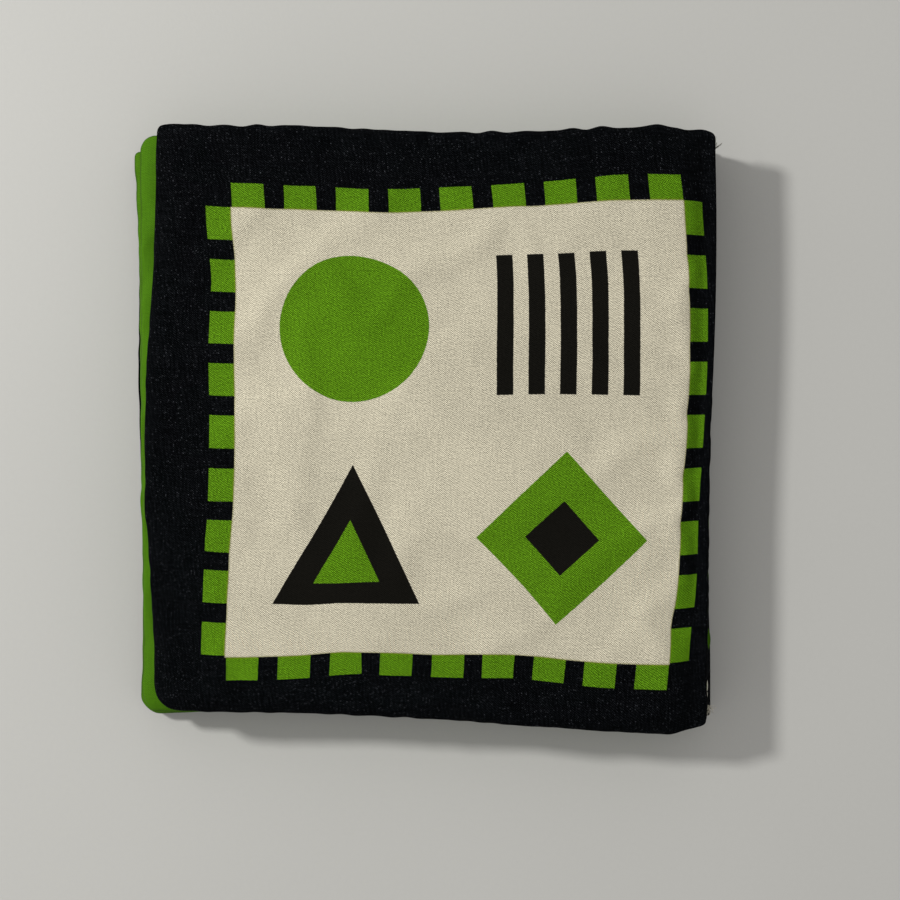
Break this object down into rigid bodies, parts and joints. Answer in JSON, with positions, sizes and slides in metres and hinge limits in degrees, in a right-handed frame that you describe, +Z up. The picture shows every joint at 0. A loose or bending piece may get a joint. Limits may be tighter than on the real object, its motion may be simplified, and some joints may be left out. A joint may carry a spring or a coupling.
{
  "type": "cloth book",
  "caption": "Square soft cloth book for babies, with padded crinkling leaves that turn on a sewn cloth spine.",
  "frame": {"origin": "on the table under the middle of the book: the centre of the bottom of the bounding box", "axes": "+Z up through the shut book, +X to the spine, +Y to the top edge of the cover"},
  "size_m": [0.1328, 0.1336, 0.0196],
  "materials": {
    "cover_cloth": "fine black woven polyester, printed on the front",
    "page_cloth": "fine printed woven polyester, green at the edges",
    "crinkle_film": "thin crinkling film",
    "wadding": "soft white polyester wadding",
    "thread": "black sewing thread",
    "spine_thread": "pale sewing thread, frayed at its ends"
  },
  "bodies": {
    "back_cover": {"back_cover_outer_panel": "cover_cloth", "back_cover_wadding": "wadding", "back_cover_crinkle_film": "crinkle_film", "back_cover_lining": "page_cloth", "back_cover_seam_thread": "thread", "spine_cloth_lower": "cover_cloth"},
    "inner_leaf": {"inner_leaf_lower_page": "page_cloth", "inner_leaf_wadding": "wadding", "inner_leaf_crinkle_film": "crinkle_film", "inner_leaf_upper_page": "page_cloth", "inner_leaf_seam_thread": "thread", "spine_cloth_upper": "cover_cloth", "spine_stitching": "spine_thread"},
    "front_cover": {"front_cover_lining": "page_cloth", "front_cover_wadding": "wadding", "front_cover_crinkle_film": "crinkle_film", "front_cover_outer_panel": "cover_cloth", "front_cover_seam_thread": "thread"}
  },
  "joints": [
    {"name": "inner_leaf_turn", "type": "hinge", "parent": "back_cover", "child": "inner_leaf", "pos_m": [0.06491, 0, 0.00615], "axis": [0, 1, 0], "range_deg": [0, 155], "deforming": ["spine_cloth_lower"]},
    {"name": "front_cover_turn", "type": "hinge", "parent": "inner_leaf", "child": "front_cover", "pos_m": [0.06491, 0, 0.01245], "axis": [0, 1, 0], "range_deg": [0, 155], "deforming": ["spine_cloth_upper"]}
  ]
}
